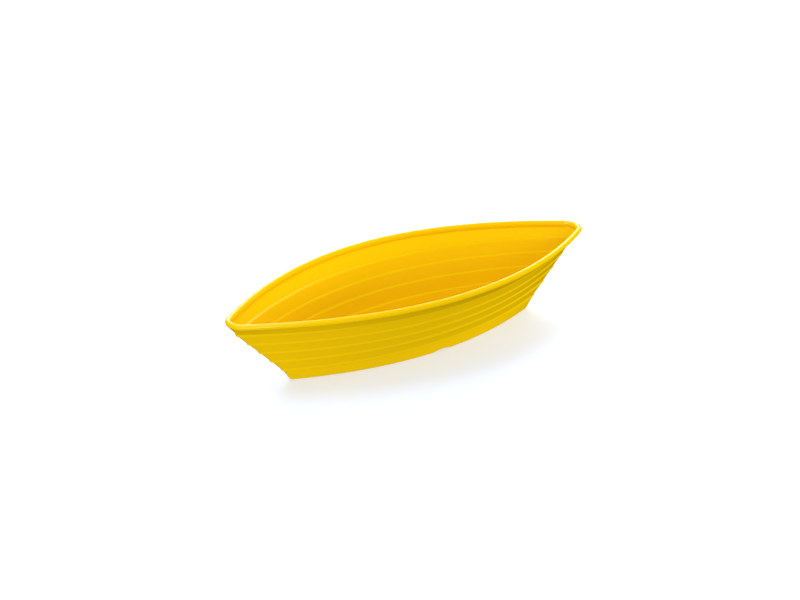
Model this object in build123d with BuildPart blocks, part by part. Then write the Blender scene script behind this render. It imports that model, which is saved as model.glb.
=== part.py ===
"""Boat-shaped serving bowl, moulded in one piece.

The walls are stepped like the overlapping planks of a clinker-built boat, the rim is a round
bead, and the bowl stands on a shallow ring foot with a drain notch in each long side.

Millimetres. +X runs along the bowl, +Z is up, and the origin is on the resting plane under
the middle of the bowl.
"""

import os
from math import atan2, cos, degrees, sin
from typing import NamedTuple

from build123d import *

# Overall sizes, measured over the rim bead
overall_length = 300.0
overall_beam = 123.4
overall_height = 57.4

# Rim bead
bead_diameter = 4.4
bead_tip_radius = 11.1  # plan radius of the bead's centre line at bow and stern
bead_overhang = 0.8  # how far the bead stands out past the plank that carries it
bead_rise = 1.5  # height of the bead's centre line over the shelf inside the rim

# Planks: from foot to rim, the lips of the outer ledges lie evenly spaced on a straight flare
ledge_count = 5
lowest_ledge_height = 8.3
highest_ledge_height = 43.4
lowest_lip_length = 217.6
lowest_lip_beam = 55.2
highest_lip_length = 287.9
highest_lip_beam = 100.1
lip_tip_radius = 3.2
ledge_depth = 1.3  # how far each plank stands out over the one below it, at the sides
ledge_end_depth = 1.0  # the same at bow and stern, where the stems look almost straight

# Wall and floor
wall_thickness = 2.4  # measured level
ledge_rise = 1.7  # height of each inner ledge over its outer ledge
inner_tip_radius = 0.8
floor_thickness = 2.8

# Ring foot
foot_length = 204.2
foot_beam = 49.0
foot_tip_radius = 1.6
foot_ring_width = 3.0
foot_recess_depth = 2.2

# Drain notch, cut straight across both long sides of the ring foot
notch_length = 15.0
notch_height = 1.4
notch_offset = 10.0  # from the middle of the bowl, along it


class Outline(NamedTuple):
    """A level outline of the hull: parabolic sides that run into round tips."""

    half_length: float
    half_beam: float
    tip_radius: float


def tip_angle(outline):
    """Half the arc of an outline's tip, in radians, where it meets the side without a corner."""
    angle = atan2(outline.half_length, 2 * outline.half_beam)
    for _ in range(20):
        reach = outline.half_length - outline.tip_radius * (1 - cos(angle))
        rise = outline.half_beam - outline.tip_radius * sin(angle)
        angle = atan2(reach, 2 * rise)
    return angle


def inset(outline, gap):
    """The outline moved inwards by a gap, with a tip no sharper than the inner tip radius."""
    new_tip = max(outline.tip_radius - gap, inner_tip_radius)
    tip_shift = (gap + new_tip - outline.tip_radius) / cos(tip_angle(outline))
    return Outline(
        outline.half_length - outline.tip_radius - tip_shift + new_tip,
        outline.half_beam - gap,
        new_tip,
    )


def grown(outline, gap):
    """The outline moved outwards by a gap."""
    return Outline(*(size + gap for size in outline))


def stepped_in(outline):
    """The outline one ledge further in: the top of the plank below."""
    return outline._replace(
        half_length=outline.half_length - ledge_end_depth,
        half_beam=outline.half_beam - ledge_depth,
    )


def between(lower, upper, share):
    """The outline at a share of the way up from the lower to the upper one."""
    return Outline(*(low + (high - low) * share for low, high in zip(lower, upper)))


def outline_edges(outline):
    """Draw the outline's four edges in the current line builder."""
    angle = tip_angle(outline)
    tip_center = outline.half_length - outline.tip_radius
    side_x = tip_center + outline.tip_radius * cos(angle)
    side_y = outline.tip_radius * sin(angle)
    control_y = 2 * outline.half_beam - side_y
    half_arc = degrees(angle)
    Bezier((side_x, side_y), (0, control_y), (-side_x, side_y))
    CenterArc((-tip_center, 0), outline.tip_radius, 180 - half_arc, 2 * half_arc)
    Bezier((-side_x, -side_y), (0, -control_y), (side_x, -side_y))
    CenterArc((tip_center, 0), outline.tip_radius, -half_arc, 2 * half_arc)


def outline_sketch(outline, height):
    """The outline as a face at a height."""
    with BuildSketch(Plane.XY.offset(height)) as level:
        with BuildLine():
            outline_edges(outline)
        make_face()
    return level.sketch


def hull_band(low_height, low_outline, high_height, high_outline, mode):
    """Add or cut the band of hull between two level outlines."""
    low_face = outline_sketch(low_outline, low_height)
    high_face = outline_sketch(high_outline, high_height)
    loft([low_face, high_face], ruled=True, mode=mode)


# Levels that follow from the sizes above
bead_radius = bead_diameter / 2
bead_height = overall_height - bead_radius
shelf_height = bead_height - bead_rise
floor_height = foot_recess_depth + floor_thickness
ledge_pitch = (highest_ledge_height - lowest_ledge_height) / (ledge_count - 1)

bead_line = Outline(
    overall_length / 2 - bead_radius, overall_beam / 2 - bead_radius, bead_tip_radius
)
foot = Outline(foot_length / 2, foot_beam / 2, foot_tip_radius)
lowest_lip = Outline(lowest_lip_length / 2, lowest_lip_beam / 2, lip_tip_radius)
highest_lip = Outline(highest_lip_length / 2, highest_lip_beam / 2, lip_tip_radius)

# Each plank: height and outline at its lower and its upper edge, from the foot to the rim
ledge_heights = [lowest_ledge_height + ledge_pitch * step for step in range(ledge_count)]
lips = [between(lowest_lip, highest_lip, step / (ledge_count - 1)) for step in range(ledge_count)]
plank_tops = [stepped_in(lip) for lip in lips] + [grown(bead_line, bead_radius - bead_overhang)]
planks = list(
    zip([0.0] + ledge_heights, [foot] + lips, ledge_heights + [bead_height], plank_tops)
)


def plank_face(plank, height):
    """Outer outline of a plank at any height, also past its edges."""
    low_height, low_outline, high_height, high_outline = plank
    return between(low_outline, high_outline, (height - low_height) / (high_height - low_height))


os.makedirs("parts", exist_ok=True)

with BuildPart() as bowl:
    # Round bead along the rim
    with BuildLine(Plane.XY.offset(bead_height)) as bead_path:
        outline_edges(bead_line)
    with BuildSketch(Plane(origin=bead_path.line @ 0, z_dir=bead_path.line % 0)):
        Circle(bead_radius)
    sweep(path=bead_path.wire())

    # Outer skin, plank by plank up to the shelf inside the rim
    skin_heights = [0.0] + ledge_heights + [shelf_height]
    for plank, low, high in zip(planks, skin_heights, skin_heights[1:]):
        hull_band(low, plank_face(plank, low), high, plank_face(plank, high), mode=Mode.ADD)

    # Hollow, with each inner ledge a little above the outer one
    hollow_heights = [floor_height] + [height + ledge_rise for height in ledge_heights] + [shelf_height]
    for plank, low, high in zip(planks, hollow_heights, hollow_heights[1:]):
        low_inside = inset(plank_face(plank, low), wall_thickness)
        high_inside = inset(plank_face(plank, high), wall_thickness)
        hull_band(low, low_inside, high, high_inside, mode=Mode.SUBTRACT)

    # Recess that leaves the ring foot
    foot_recess = outline_sketch(inset(foot, foot_ring_width), 0)
    extrude(foot_recess, amount=foot_recess_depth, mode=Mode.SUBTRACT)

    # Drain notches: a low arch across both sides of the ring
    with BuildSketch(Plane.XZ):
        with BuildLine():
            ThreePointArc(
                (notch_offset - notch_length / 2, 0),
                (notch_offset, notch_height),
                (notch_offset + notch_length / 2, 0),
            )
            Line(
                (notch_offset - notch_length / 2, 0),
                (notch_offset + notch_length / 2, 0),
            )
        make_face()
    extrude(amount=foot_beam / 2, both=True, mode=Mode.SUBTRACT)

bowl.part.label = "bowl"
export_step(bowl.part, "parts/bowl.step")
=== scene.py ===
"""Looks for a boat-shaped serving bowl: one glossy yellow moulding with stepped clinker walls.

The bowl is drawn as one closed skin. It starts as a ring in the recess under the foot, and
every further ring is extruded from the last one: out over the foot, up the planks outside,
round the rim bead, and down the planks inside to the floor.
"""

import math
from typing import NamedTuple

import bmesh
import bpy
from mathutils import Matrix, Vector


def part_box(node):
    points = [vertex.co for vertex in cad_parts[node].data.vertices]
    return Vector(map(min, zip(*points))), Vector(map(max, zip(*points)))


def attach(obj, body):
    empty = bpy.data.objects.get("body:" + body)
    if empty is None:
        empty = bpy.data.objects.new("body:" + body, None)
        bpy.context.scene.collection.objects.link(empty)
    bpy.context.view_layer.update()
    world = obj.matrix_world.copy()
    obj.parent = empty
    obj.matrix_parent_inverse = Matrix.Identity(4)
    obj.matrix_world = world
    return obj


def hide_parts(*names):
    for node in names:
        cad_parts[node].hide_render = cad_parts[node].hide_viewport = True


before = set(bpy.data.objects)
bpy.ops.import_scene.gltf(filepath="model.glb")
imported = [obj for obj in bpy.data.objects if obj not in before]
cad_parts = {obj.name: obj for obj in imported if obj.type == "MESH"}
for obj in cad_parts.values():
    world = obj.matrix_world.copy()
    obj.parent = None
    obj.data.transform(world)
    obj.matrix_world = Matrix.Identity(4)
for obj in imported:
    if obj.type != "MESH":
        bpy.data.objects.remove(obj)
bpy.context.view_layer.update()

MM = 0.001

# ---------------------------------------------------------------- sizes, in millimetres

box_low, box_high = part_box("bowl")
overall_length = (box_high[0] - box_low[0]) / MM
overall_beam = (box_high[1] - box_low[1]) / MM
overall_height = (box_high[2] - box_low[2]) / MM

bead_radius = 2.2
bead_tip_radius = 11.1
bead_overhang = 0.8
bead_rise = 1.5
rim_droop = 2.3  # the rim runs this much lower at bow and stern than at the middle

# Angles round the bead's section, measured up from straight outwards
side_start = math.radians(-108)  # where the top plank meets the bead, along the sides
tip_start = math.radians(-45)  # where it does at bow and stern, so that the stem is flush with it
shelf_end = math.radians(230)  # where the bead meets the shelf inside it
stem_power = 12  # the higher, the nearer to bow and stern the tips' angle takes over

ledge_count = 5
lowest_ledge_height = 8.3
highest_ledge_height = 43.4
lowest_lip_length = 217.6
lowest_lip_beam = 55.2
highest_lip_length = 287.9
highest_lip_beam = 100.1
lip_tip_radius = 3.2
ledge_depth = 1.3
ledge_end_depth = 1.0

wall_thickness = 2.4
ledge_rise = 1.7
inner_tip_radius = 0.8
floor_thickness = 2.8

foot_length = 204.2
foot_beam = 49.0
foot_tip_radius = 1.6
foot_ring_width = 3.0
foot_recess_depth = 2.2

notch_length = 15.0
notch_height = 1.4
notch_offset = 10.0
notch_margin = 2.0  # more than the foot's side curves in along the notch

# The shelf inside the rim slopes down to its edge, and so does the top of each inner ledge
shelf_drop = 0.8
ledge_slope = 0.7

# Each plank's lower edge swells into a soft lip
lip_height = 1.9
lip_swell = 0.75

# Small roundings that every edge of the moulding has
lip_rounding = 0.6
crease_rounding = 0.3
foot_rounding = 0.8
floor_rounding = 3.0
longest_rounding = 0.45  # as a share of the way to the next corner

# How far the flat faces in the middle reach past the rings that close them
recess_cap_gap = 4.0
floor_cap_gap = 8.0

# How finely the skin is divided
side_points = 96  # along each long side of a ring
tip_points = 10  # round each tip of a ring
bead_segments = 18
corner_segments = 4
floor_segments = 8
tip_angle_rounds = 20


class Outline(NamedTuple):
    """A level outline of the hull: parabolic sides that run into round tips."""

    half_length: float
    half_beam: float
    tip_radius: float


def tip_angle(outline):
    """Half the arc of an outline's tip, in radians, where it meets the side without a corner."""
    angle = math.atan2(outline.half_length, 2 * outline.half_beam)
    for _ in range(tip_angle_rounds):
        reach = outline.half_length - outline.tip_radius * (1 - math.cos(angle))
        rise = outline.half_beam - outline.tip_radius * math.sin(angle)
        angle = math.atan2(reach, 2 * rise)
    return angle


def inset(outline, gap):
    """The outline moved inwards by a gap, with a tip no sharper than the inner tip radius."""
    new_tip = max(outline.tip_radius - gap, inner_tip_radius)
    tip_shift = (gap + new_tip - outline.tip_radius) / math.cos(tip_angle(outline))
    return Outline(
        outline.half_length - outline.tip_radius - tip_shift + new_tip,
        outline.half_beam - gap,
        new_tip,
    )


def grown(outline, gap):
    """The outline moved outwards by a gap."""
    return Outline(*(size + gap for size in outline))


def stepped_in(outline):
    """The outline one ledge further in: the top of the plank below."""
    return outline._replace(
        half_length=outline.half_length - ledge_end_depth,
        half_beam=outline.half_beam - ledge_depth,
    )


def between(lower, upper, share):
    """The outline at a share of the way from the lower to the upper one."""
    return Outline(*(low + (high - low) * share for low, high in zip(lower, upper)))


def ring_points(outline):
    """Points round the outline, from the bow's tip along +Y, and back along -Y."""
    angle = tip_angle(outline)
    tip_center = outline.half_length - outline.tip_radius
    side_x = tip_center + outline.tip_radius * math.cos(angle)
    side_y = outline.tip_radius * math.sin(angle)
    half = []
    for step in range(tip_points):
        turn = angle * step / tip_points
        x = tip_center + outline.tip_radius * math.cos(turn)
        half.append((x, outline.tip_radius * math.sin(turn)))
    for step in range(side_points // 2):
        x = side_x * (1 - 2 * step / side_points)
        half.append((x, outline.half_beam - (outline.half_beam - side_y) * (x / side_x) ** 2))
    quarter = half + [(0.0, outline.half_beam)]
    upper = quarter + [(-x, y) for x, y in reversed(half)]
    return upper + [(x, -y) for x, y in reversed(upper[1:-1])]


# ---------------------------------------------------------------- levels of the moulding

bead_height = overall_height - bead_radius
shelf_height = bead_height - bead_rise
floor_height = foot_recess_depth + floor_thickness
ledge_pitch = (highest_ledge_height - lowest_ledge_height) / (ledge_count - 1)

bead_line = Outline(overall_length / 2 - bead_radius, overall_beam / 2 - bead_radius, bead_tip_radius)
foot = Outline(foot_length / 2, foot_beam / 2, foot_tip_radius)
lowest_lip = Outline(lowest_lip_length / 2, lowest_lip_beam / 2, lip_tip_radius)
highest_lip = Outline(highest_lip_length / 2, highest_lip_beam / 2, lip_tip_radius)

ledge_heights = [lowest_ledge_height + ledge_pitch * step for step in range(ledge_count)]
lips = [between(lowest_lip, highest_lip, step / (ledge_count - 1)) for step in range(ledge_count)]
plank_tops = [stepped_in(lip) for lip in lips] + [grown(bead_line, bead_radius - bead_overhang)]

# Each plank: height and outline at its lower and its upper edge, from the foot to the rim
planks = list(
    zip([0.0] + ledge_heights, [foot] + lips, ledge_heights + [bead_height], plank_tops)
)


def plank_face(plank, height):
    """Outer outline of a plank at any height, also past its edges."""
    low_height, low_outline, high_height, high_outline = plank
    return between(low_outline, high_outline, (height - low_height) / (high_height - low_height))


# ---------------------------------------------------------------- the skin's profile


class Corner(NamedTuple):
    """One corner of the profile: an outline at a height, rounded by a radius."""

    outline: Outline
    height: float
    rounding: float


def outer_corners():
    """Corners from the foot up the outside to the underside of the bead."""
    corners = [
        Corner(inset(foot, foot_ring_width), foot_recess_depth, crease_rounding),
        Corner(inset(foot, foot_ring_width), 0.0, crease_rounding),
        Corner(foot, 0.0, foot_rounding),
    ]
    for height, lip, plank in zip(ledge_heights, lips, planks[1:]):
        lip_top = grown(plank_face(plank, height + lip_height), -lip_swell)
        corners.append(Corner(stepped_in(lip), height, crease_rounding))
        corners.append(Corner(lip, height, lip_rounding))
        corners.append(Corner(lip_top, height + lip_height, lip_rounding))
    return corners


def inner_corners():
    """Corners from the shelf inside the rim down to the floor."""
    edge_height = shelf_height - shelf_drop
    shelf_edge = inset(plank_face(planks[-1], edge_height), wall_thickness)
    corners = [Corner(shelf_edge, edge_height, lip_rounding)]
    for step in reversed(range(ledge_count)):
        height = ledge_heights[step] + ledge_rise
        above = inset(plank_face(planks[step + 1], height + ledge_slope), wall_thickness)
        below = inset(plank_face(planks[step], height), wall_thickness)
        corners.append(Corner(above, height + ledge_slope, crease_rounding))
        corners.append(Corner(below, height, lip_rounding))
    floor_edge = inset(plank_face(planks[0], floor_height), wall_thickness)
    corners.append(Corner(floor_edge, floor_height, floor_rounding))
    return corners


def rim_drop(x):
    """How far the rim lies below its middle, at a distance along the bowl."""
    return rim_droop * (2 * x / overall_length) ** 2


def droop(x, height):
    """How far the skin is lowered: nothing below the top ledge, as far as the rim at the shelf."""
    lowest = highest_ledge_height + ledge_rise + ledge_slope
    share = min(max((height - lowest) / (shelf_height - shelf_drop - lowest), 0), 1)
    return rim_drop(x) * share


def level_ring(outline, height):
    """A ring round the bowl on an outline, level but for the droop near the rim."""
    return [(x, y, height - droop(x, height)) for x, y in ring_points(outline)]


def bead_ring(step):
    """One ring round the bead, from where the top plank runs into it, over it, to the shelf."""
    line = ring_points(bead_line)
    ring = []
    for index, (x, y) in enumerate(line):
        before, after = line[index - 1], line[(index + 1) % len(line)]
        along = Vector((after[0] - before[0], after[1] - before[1])).normalized()
        stem_share = abs(x / bead_line.half_length) ** stem_power
        start = side_start + (tip_start - side_start) * stem_share
        turn = start + (shelf_end - start) * step / bead_segments
        out = bead_radius * math.cos(turn)
        height = bead_height + bead_radius * math.sin(turn) - rim_drop(x)
        ring.append((x + along.y * out, y - along.x * out, height))
    return ring


def rounded(corner, before, after, segments=corner_segments):
    """Rings that round a corner between its two neighbours, as a short curve in the profile."""

    def toward(other):
        """Where the curve starts or ends, short of halfway to a neighbour."""
        across = other.outline.half_beam - corner.outline.half_beam
        run = math.hypot(across, other.height - corner.height)
        share = min(corner.rounding / run, longest_rounding)
        outline = between(corner.outline, other.outline, share)
        return outline, corner.height + (other.height - corner.height) * share

    first, last = toward(before), toward(after)
    rings = []
    for step in range(segments + 1):
        t = step / segments
        weights = ((1 - t) ** 2, 2 * t * (1 - t), t ** 2)
        sizes = zip(first[0], corner.outline, last[0])
        outline = Outline(*(sum(w * s for w, s in zip(weights, size)) for size in sizes))
        height = sum(w * h for w, h in zip(weights, (first[1], corner.height, last[1])))
        rings.append(level_ring(outline, height))
    return rings


def profile_rings():
    """Every ring of the skin, from the recess under the foot, over the rim, to the floor."""
    outer = outer_corners()
    inner = inner_corners()
    recess_cap = inset(foot, foot_ring_width + recess_cap_gap)
    recess_middle = Corner(recess_cap, foot_recess_depth, 0)
    floor_middle = Corner(inset(inner[-1].outline, floor_cap_gap), floor_height, 0)
    bead_underside = grown(bead_line, bead_radius * math.cos(side_start))
    under_bead = Corner(bead_underside, bead_height - bead_radius, 0)
    on_shelf = Corner(grown(bead_line, bead_radius * math.cos(shelf_end)), shelf_height, 0)
    rings = [level_ring(recess_middle.outline, recess_middle.height)]
    for corner, before, after in zip(outer, [recess_middle] + outer, outer[1:] + [under_bead]):
        rings += rounded(corner, before, after)
    rings += [bead_ring(step) for step in range(bead_segments + 1)]
    for corner, before, after in zip(inner, [on_shelf] + inner, inner[1:]):
        rings += rounded(corner, before, after)
    rings += rounded(inner[-1], inner[-2], floor_middle, floor_segments)
    rings.append(level_ring(floor_middle.outline, floor_middle.height))
    return rings


def place_ring(verts, coordinates):
    """Move a ring of vertices to its coordinates."""
    for vert, place in zip(verts, coordinates):
        vert.co = Vector(place) * MM


def in_order(ring, fresh):
    """The fresh vertices in the order of the ring that they were extruded from."""
    fresh = set(fresh)
    ordered = []
    for vert in ring:
        ordered += [edge.other_vert(vert) for edge in vert.link_edges if edge.other_vert(vert) in fresh]
    return ordered


def build_bowl():
    """The bowl's closed skin, ring after ring."""
    bm = bmesh.new()
    rings = profile_rings()
    count = len(rings[0])
    ring = bmesh.ops.create_circle(bm, cap_ends=True, segments=count, radius=1.0)["verts"]
    place_ring(ring, rings[0])
    edges = bm.edges[:]
    for coordinates in rings[1:]:
        made = bmesh.ops.extrude_edge_only(bm, edges=edges)["geom"]
        edges = [item for item in made if isinstance(item, bmesh.types.BMEdge) and item.is_boundary]
        fresh = [item for item in made if isinstance(item, bmesh.types.BMVert)]
        ring = in_order(ring, fresh)
        place_ring(ring, coordinates)
    bmesh.ops.contextual_create(bm, geom=edges)
    bmesh.ops.recalc_face_normals(bm, faces=bm.faces)
    return bm


def cut_notches(bm):
    """Raise the ring foot's edge into a low arch on each long side."""
    for vert in bm.verts:
        x, y, z = (value / MM for value in vert.co)
        share = 1 - ((x - notch_offset) / (notch_length / 2)) ** 2
        if share > 0 and z < notch_height and abs(y) > foot_beam / 2 - foot_ring_width - notch_margin:
            vert.co.z = max(vert.co.z, notch_height * share * MM)


def mesh_object(name, bm):
    """Turn a bmesh into a smooth-shaded object."""
    mesh = bpy.data.meshes.new(name)
    bm.to_mesh(mesh)
    bm.free()
    mesh.shade_smooth()
    piece = bpy.data.objects.new(name, mesh)
    bpy.context.scene.collection.objects.link(piece)
    return piece


# ---------------------------------------------------------------- materials


def new_material(name):
    """A node material and its Principled shader."""
    material = bpy.data.materials.new(name)
    material.use_nodes = True
    return material, material.node_tree.nodes["Principled BSDF"]


def yellow_melamine():
    """Glossy moulded yellow, faintly cloudy."""
    material, shader = new_material("yellow_melamine")
    nodes, links = material.node_tree.nodes, material.node_tree.links
    shader.inputs["Roughness"].default_value = 0.13
    shader.inputs["Specular IOR Level"].default_value = 0.3
    place = nodes.new("ShaderNodeTexCoord")
    cloud = nodes.new("ShaderNodeTexNoise")
    cloud.inputs["Scale"].default_value = 25.0
    cloud.inputs["Detail"].default_value = 3.0
    tint = nodes.new("ShaderNodeValToRGB")
    tint.color_ramp.elements[0].color = (0.89, 0.562, 0.0, 1)
    tint.color_ramp.elements[1].color = (0.92, 0.582, 0.0, 1)
    links.new(place.outputs["Object"], cloud.inputs["Vector"])
    links.new(cloud.outputs["Fac"], tint.inputs["Fac"])
    links.new(tint.outputs["Color"], shader.inputs["Base Color"])
    return material


def studio_paper():
    """Pale paper that glows a little, with a cool tint against the yellow that falls on it."""
    material, shader = new_material("studio_paper")
    shader.inputs["Base Color"].default_value = (0.5, 0.59, 0.8, 1)
    shader.inputs["Roughness"].default_value = 0.6
    shader.inputs["Emission Color"].default_value = (1, 1, 1, 1)
    shader.inputs["Emission Strength"].default_value = 0.45
    return material


# ---------------------------------------------------------------- camera, lights and floor


# The camera: angles in degrees from square on to the near side, lengths in metres, lens in mm
camera_azimuth = -34.639
camera_elevation = 23.453
camera_roll = -1.0441
camera_distance = 1.8986
camera_lens = 121.09
camera_aim_height = 0.027
camera_aim_right = -0.0075
camera_aim_up = 0.00522

# Half the width of the square floor, in metres, and the strength of the light from all round
floor_reach = 6.0
surrounding_light = 0.6

# Soft boxes: name, place, aim, size in metres, power in watts, whether gloss mirrors it
softboxes = [
    ("top_softbox", (-0.3, 0.3, 1.6), (0, 0, 0), (1.2, 0.8), 11, True),
    ("front_softbox", (-1.0, -1.4, 1.6), (0, 0, 0.03), (1.0, 0.6), 1.2, True),
    ("back_softbox", (0.9, 1.3, 0.95), (0, 0, 0.03), (2.0, 0.7), 22, True),
    ("left_softbox", (-1.5, -1.2, 0.3), (0, 0, 0.03), (1.2, 0.5), 15, True),
    ("right_softbox", (1.2, -0.25, 0.12), (0.1, 0, 0.03), (0.5, 0.2), 10, False),
]


def add_camera():
    """A long lens, looking down at the near side with one end to the right."""
    azimuth, elevation = math.radians(camera_azimuth), math.radians(camera_elevation)
    roll = math.radians(camera_roll)
    level = math.cos(elevation)
    back = Vector((math.sin(azimuth) * level, -math.cos(azimuth) * level, math.sin(elevation)))
    right = Vector((0, 0, 1)).cross(back).normalized()
    up = back.cross(right)
    turned_right = right * math.cos(roll) + up * math.sin(roll)
    turned_up = up * math.cos(roll) - right * math.sin(roll)
    sideways = turned_right * camera_aim_right + turned_up * camera_aim_up
    target = Vector((0, 0, camera_aim_height)) + sideways
    data = bpy.data.cameras.new("camera")
    data.lens = camera_lens
    camera = bpy.data.objects.new("camera", data)
    turn = Matrix((turned_right, turned_up, back)).transposed()
    camera.matrix_world = Matrix.Translation(target + back * camera_distance) @ turn.to_4x4()
    bpy.context.scene.collection.objects.link(camera)
    bpy.context.scene.camera = camera


def add_softbox(name, place, aim, size, power, mirrored):
    """A rectangular soft light aimed at a point, which glossy surfaces may mirror."""
    data = bpy.data.lights.new(name, "AREA")
    data.shape = "RECTANGLE"
    data.size, data.size_y = size
    data.energy = power
    light = bpy.data.objects.new(name, data)
    light.location = place
    light.visible_glossy = mirrored
    toward_aim = Vector(aim) - Vector(place)
    light.rotation_euler = toward_aim.to_track_quat("-Z", "Y").to_euler()
    bpy.context.scene.collection.objects.link(light)


def add_floor():
    """A wide pale floor that the foot stands on, which lends the bowl no glow or reflection."""
    bm = bmesh.new()
    bmesh.ops.create_grid(bm, x_segments=1, y_segments=1, size=floor_reach)
    bmesh.ops.translate(bm, verts=bm.verts, vec=(0, 0, box_low[2]))
    floor = mesh_object("floor", bm)
    floor.data.materials.append(studio_paper())
    floor.visible_glossy = False
    floor.visible_diffuse = False


def add_surroundings():
    """Even white light from all round, which the gloss doesn't mirror."""
    world = bpy.data.worlds.new("surroundings")
    world.use_nodes = True
    world.node_tree.nodes["Background"].inputs["Color"].default_value = (1, 1, 1, 1)
    world.node_tree.nodes["Background"].inputs["Strength"].default_value = surrounding_light
    world.cycles_visibility.glossy = False
    bpy.context.scene.world = world


add_camera()
add_floor()
add_surroundings()
for softbox in softboxes:
    add_softbox(*softbox)
bpy.context.scene.view_settings.view_transform = "Standard"

# ---------------------------------------------------------------- the bowl

skin = build_bowl()
cut_notches(skin)
bowl = mesh_object("bowl_moulding", skin)
bowl.data.materials.append(yellow_melamine())
bowl.modifiers.new("flat_planks", "WEIGHTED_NORMAL")
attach(bowl, "root")
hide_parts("bowl")
